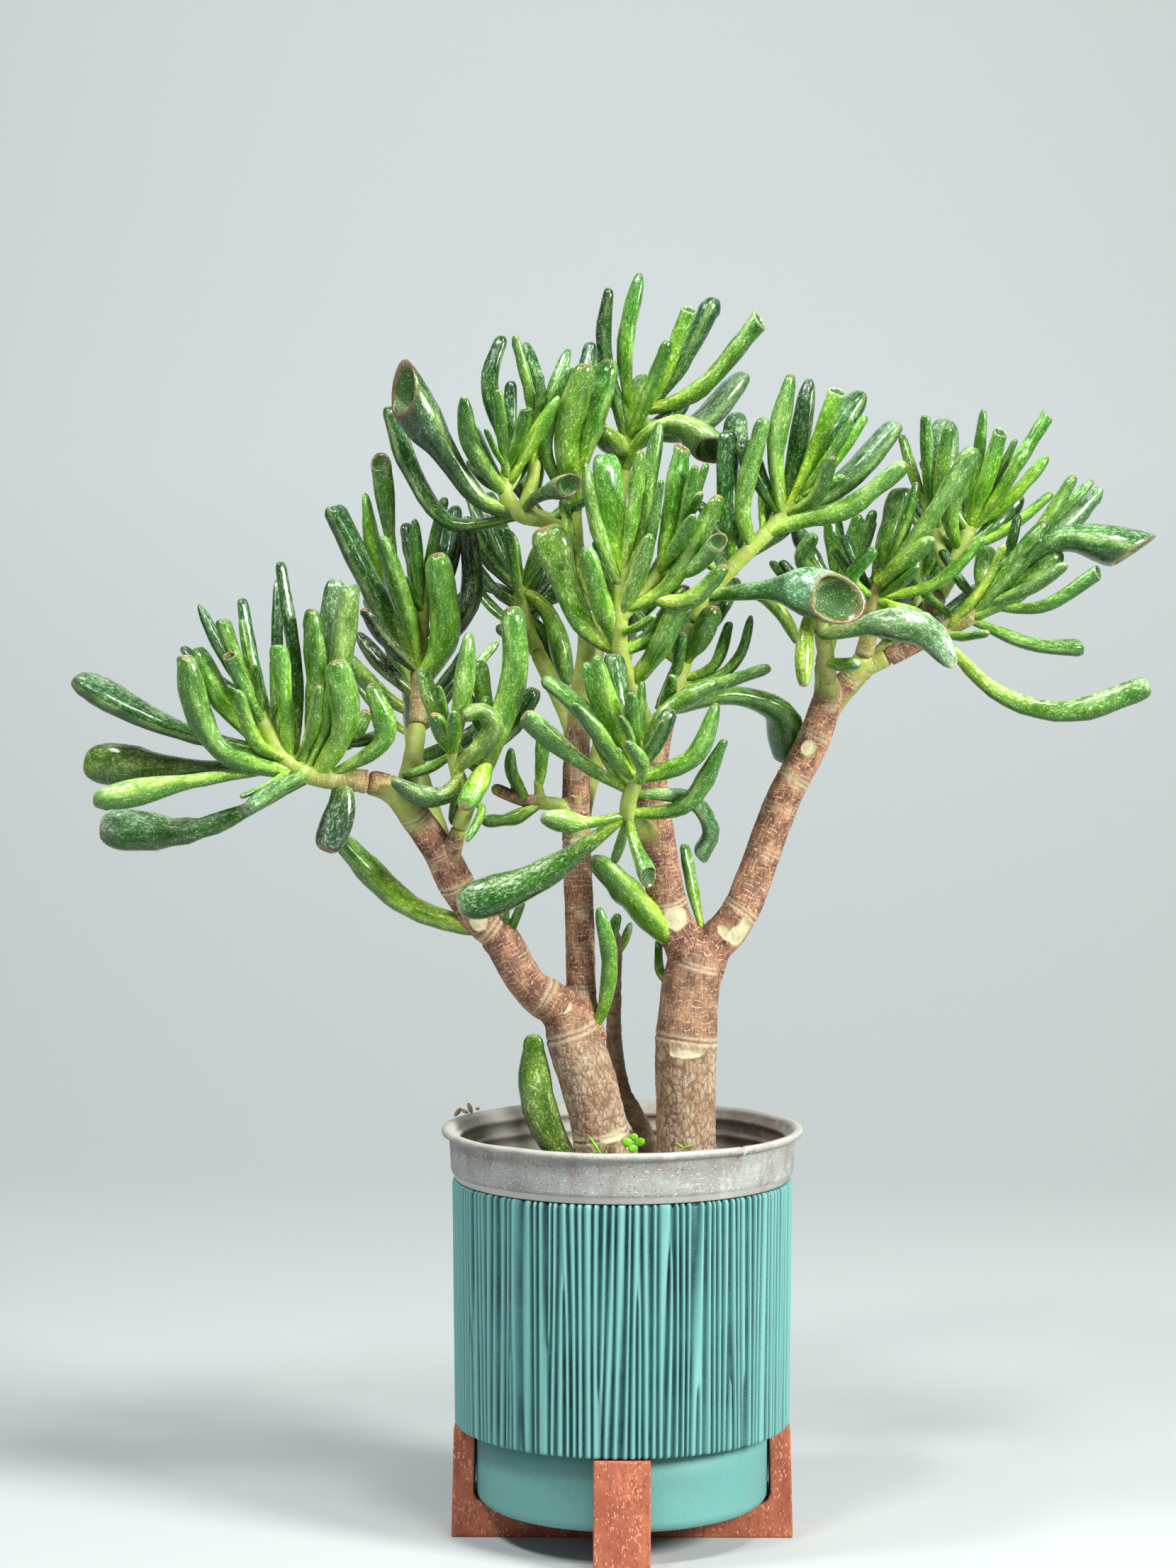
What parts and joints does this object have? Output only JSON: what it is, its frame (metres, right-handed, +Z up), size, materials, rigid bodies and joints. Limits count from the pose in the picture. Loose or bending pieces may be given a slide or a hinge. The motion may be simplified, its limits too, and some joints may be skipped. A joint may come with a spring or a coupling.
{
  "type": "potted jade plant",
  "caption": "Old finger-leaved jade plant with two trunks and cup-tipped leaves, in a grey nursery pot inside a ribbed teal planter on a crossed wooden stand.",
  "frame": {"origin": "on the pot's axis at the underside of the crossed stand", "axes": "+Z up, +X to the right as seen from the front, where one upright of the stand faces the viewer at -Y"},
  "size_m": [0.4997, 0.2022, 0.595],
  "materials": {
    "stand": "satin, reddish brown with light flecks",
    "planter": "matte teal, cast ribs",
    "grow_pot": "weathered grey, stained, pale lip",
    "soil": "dry crumbly compost",
    "bark": "fissured bark with pale leaf scars",
    "leaf": "waxy green, fine pale speckle, some reddish tips"
  },
  "bodies": {
    "root": {"stand_board_wide": "stand", "stand_board_deep": "stand", "planter": "planter", "grow_pot": "grow_pot", "soil": "soil", "left_trunk": "bark", "right_trunk": "bark", "back_stem": "bark", "shoot_low_left": "leaf", "shoot_upright_left": "leaf", "shoot_inner_left": "leaf", "shoot_low_middle": "leaf", "shoot_top_left": "leaf", "shoot_back_left": "leaf", "shoot_middle": "leaf", "shoot_top": "leaf", "shoot_neck_right": "leaf", "shoot_top_right": "leaf", "shoot_front_right": "leaf", "shoot_right_inner": "leaf", "shoot_right_low": "leaf", "shoot_right_top": "leaf", "shoot_rear_right": "leaf", "shoot_far_left": "leaf", "shoot_far_middle": "leaf", "shoot_far_right": "leaf"}
  },
  "joints": []
}
